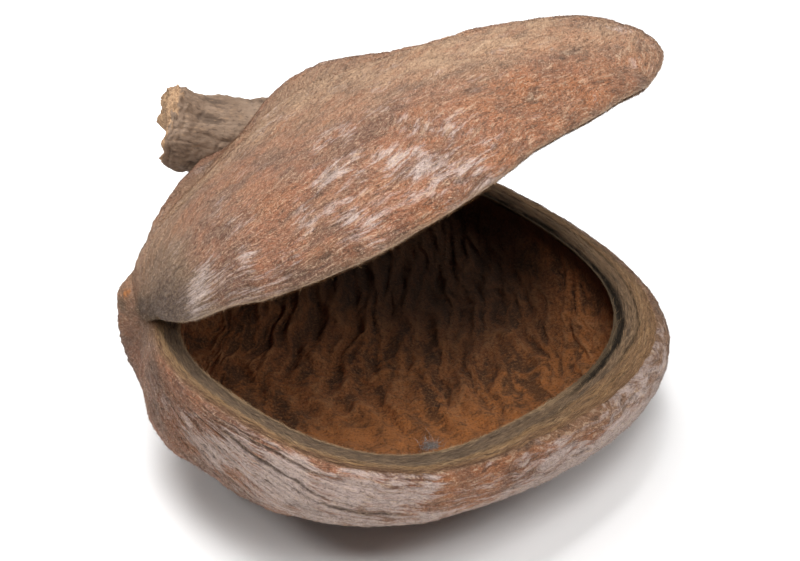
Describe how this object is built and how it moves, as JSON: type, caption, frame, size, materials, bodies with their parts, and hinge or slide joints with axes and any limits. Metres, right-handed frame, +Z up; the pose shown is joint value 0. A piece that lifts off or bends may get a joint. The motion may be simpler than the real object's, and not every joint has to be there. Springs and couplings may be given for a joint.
{
  "type": "badam pod",
  "caption": "Dried woody seed pod split open like a clam: a deep bowl half and a raised lid half joined along the back, with a stalk stub, to lie on a table",
  "frame": {"origin": "on the table under the middle of the pod's box", "axes": "+Z up, +X from the hinge side to the open mouth, +Y along the split from the beak end to the stalk end"},
  "size_m": [0.0878, 0.1014, 0.0721],
  "materials": {
    "woody_husk": "matte"
  },
  "bodies": {
    "root": {"badam_pod": "woody_husk"}
  },
  "joints": []
}
